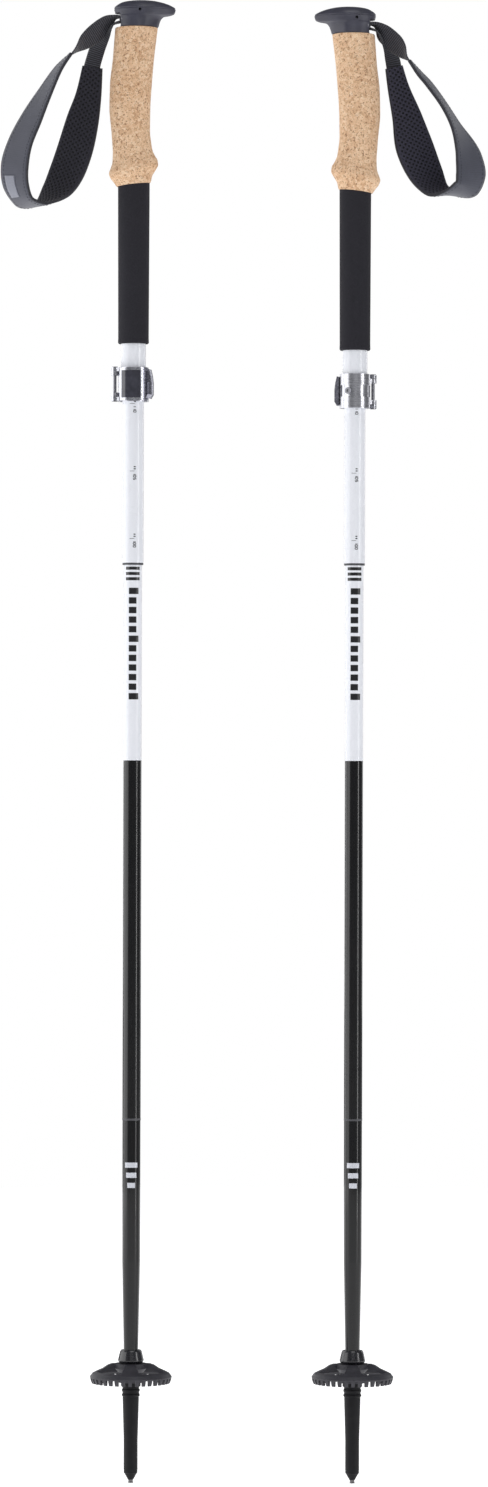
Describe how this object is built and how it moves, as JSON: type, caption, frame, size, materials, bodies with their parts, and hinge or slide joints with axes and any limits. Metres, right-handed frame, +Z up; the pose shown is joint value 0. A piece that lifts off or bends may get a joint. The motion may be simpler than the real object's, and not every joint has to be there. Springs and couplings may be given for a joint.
{
  "type": "trekking poles",
  "caption": "Folding trekking poles with cork grips, padded wrist straps, lever-clamp length adjustment, cord-tensioned sections, trail baskets and carbide tips.",
  "frame": {"origin": "on the ground midway between the two tips", "axes": "+Z up along the poles; X runs from the left pole to the right pole, with each strap on the outer side; -Y is the side that the left pole's clamp lever faces"},
  "size_m": [0.3609, 0.0608, 1.1],
  "materials": {
    "head_plastic": "satin moulded plastic",
    "cork": "fine-grained natural cork",
    "foam": "matt closed-cell foam",
    "white_tube": "gloss white lacquer",
    "section_paint": "gloss white lacquer, black below the paint line",
    "black_tube": "gloss black lacquer",
    "clamp_metal": "bright polished",
    "lever_metal": "satin",
    "smoked_plastic": "smoked gloss",
    "steel_pin": "bright steel",
    "button_metal": "bright steel",
    "joint_insert": "machined insert",
    "tension_cord": "plastic-coated cord",
    "collar_plastic": "gloss moulded plastic",
    "basket_plastic": "matt moulded plastic",
    "carbide": "sintered carbide",
    "webbing": "ribbed polyester webbing",
    "strap_fabric": "woven outside, spacer mesh inside"
  },
  "bodies": {
    "left_upper": {"left_head_cap": "head_plastic", "left_strap_pin": "steel_pin", "left_cork_grip": "cork", "left_foam_sleeve": "foam", "left_upper_tube": "white_tube", "left_clamp_band": "clamp_metal", "left_clamp_pin": "steel_pin", "left_clamp_screw": "steel_pin"},
    "left_lever": {"left_clamp_lever": "lever_metal", "left_lever_cover": "smoked_plastic"},
    "left_shaft": {"left_adjusting_shaft": "white_tube", "left_shaft_socket": "joint_insert", "left_shaft_cord": "tension_cord"},
    "left_middle": {"left_mid_tube": "section_paint", "left_mid_cone": "joint_insert", "left_mid_socket": "joint_insert", "left_mid_cord": "tension_cord", "left_button_spring": "steel_pin"},
    "left_button": {"left_release_button": "button_metal"},
    "left_lower": {"left_lower_tube": "black_tube", "left_lower_cone": "joint_insert", "left_lower_cord": "tension_cord", "left_tip_collar": "collar_plastic", "left_basket": "basket_plastic", "left_tip_body": "basket_plastic", "left_carbide_tip": "carbide"},
    "left_strap": {"left_strap_webbing": "webbing", "left_strap_band": "strap_fabric"},
    "right_upper": {"right_head_cap": "head_plastic", "right_strap_pin": "steel_pin", "right_cork_grip": "cork", "right_foam_sleeve": "foam", "right_upper_tube": "white_tube", "right_clamp_band": "clamp_metal", "right_clamp_pin": "steel_pin", "right_clamp_screw": "steel_pin"},
    "right_lever": {"right_clamp_lever": "lever_metal", "right_lever_cover": "smoked_plastic"},
    "right_shaft": {"right_adjusting_shaft": "white_tube", "right_shaft_socket": "joint_insert", "right_shaft_cord": "tension_cord"},
    "right_middle": {"right_mid_tube": "section_paint", "right_mid_cone": "joint_insert", "right_mid_socket": "joint_insert", "right_mid_cord": "tension_cord", "right_button_spring": "steel_pin"},
    "right_button": {"right_release_button": "button_metal"},
    "right_lower": {"right_lower_tube": "black_tube", "right_lower_cone": "joint_insert", "right_lower_cord": "tension_cord", "right_tip_collar": "collar_plastic", "right_basket": "basket_plastic", "right_tip_body": "basket_plastic", "right_carbide_tip": "carbide"},
    "right_strap": {"right_strap_webbing": "webbing", "right_strap_band": "strap_fabric"}
  },
  "joints": [
    {"name": "left_shaft_slide", "type": "slide", "parent": "left_upper", "child": "left_shaft", "axis": [0, 0, -1], "range_m": [-0.1, 0.1]},
    {"name": "left_clamp_lever", "type": "hinge", "parent": "left_upper", "child": "left_lever", "pos_m": [-0.0958, -0.0065, 0.81475], "axis": [0, 0, -1], "range_deg": [0, 130]},
    {"name": "left_fold_upper", "type": "hinge", "parent": "left_shaft", "child": "left_middle", "pos_m": [-0.0822, 0.01, 0.681], "axis": [1, 0, 0], "range_deg": [0, 175]},
    {"name": "left_fold_lower", "type": "hinge", "parent": "left_middle", "child": "left_lower", "pos_m": [-0.0822, -0.01, 0.269], "axis": [-1, 0, 0], "range_deg": [0, 170]},
    {"name": "left_button", "type": "slide", "parent": "left_middle", "child": "left_button", "axis": [0, -1, 0], "range_m": [0, 0.0018], "stiffness_N_per_m": 400, "springref_m": -0.001},
    {"name": "left_strap_swing", "type": "hinge", "parent": "left_upper", "child": "left_strap", "pos_m": [-0.0902, 0, 1.0856], "axis": [0, 1, 0], "range_deg": [0, 10]},
    {"name": "right_shaft_slide", "type": "slide", "parent": "right_upper", "child": "right_shaft", "axis": [0, 0, -1], "range_m": [-0.0955, 0.1045]},
    {"name": "right_clamp_lever", "type": "hinge", "parent": "right_upper", "child": "right_lever", "pos_m": [0.0958, 0.0065, 0.81025], "axis": [0, 0, -1], "range_deg": [0, 130]},
    {"name": "right_fold_upper", "type": "hinge", "parent": "right_shaft", "child": "right_middle", "pos_m": [0.0822, -0.01, 0.681], "axis": [-1, 0, 0], "range_deg": [0, 175]},
    {"name": "right_fold_lower", "type": "hinge", "parent": "right_middle", "child": "right_lower", "pos_m": [0.0822, 0.01, 0.269], "axis": [1, 0, 0], "range_deg": [0, 170]},
    {"name": "right_button", "type": "slide", "parent": "right_middle", "child": "right_button", "axis": [0, -1, 0], "range_m": [0, 0.0018], "stiffness_N_per_m": 400, "springref_m": -0.001},
    {"name": "right_strap_swing", "type": "hinge", "parent": "right_upper", "child": "right_strap", "pos_m": [0.0902, 0, 1.0811], "axis": [0, -1, 0], "range_deg": [0, 10]},
    {"name": "right_pole_place", "type": "slide", "parent": "left_upper", "child": "right_upper", "axis": [1, 0, 0], "range_m": [0, 0.1]}
  ]
}
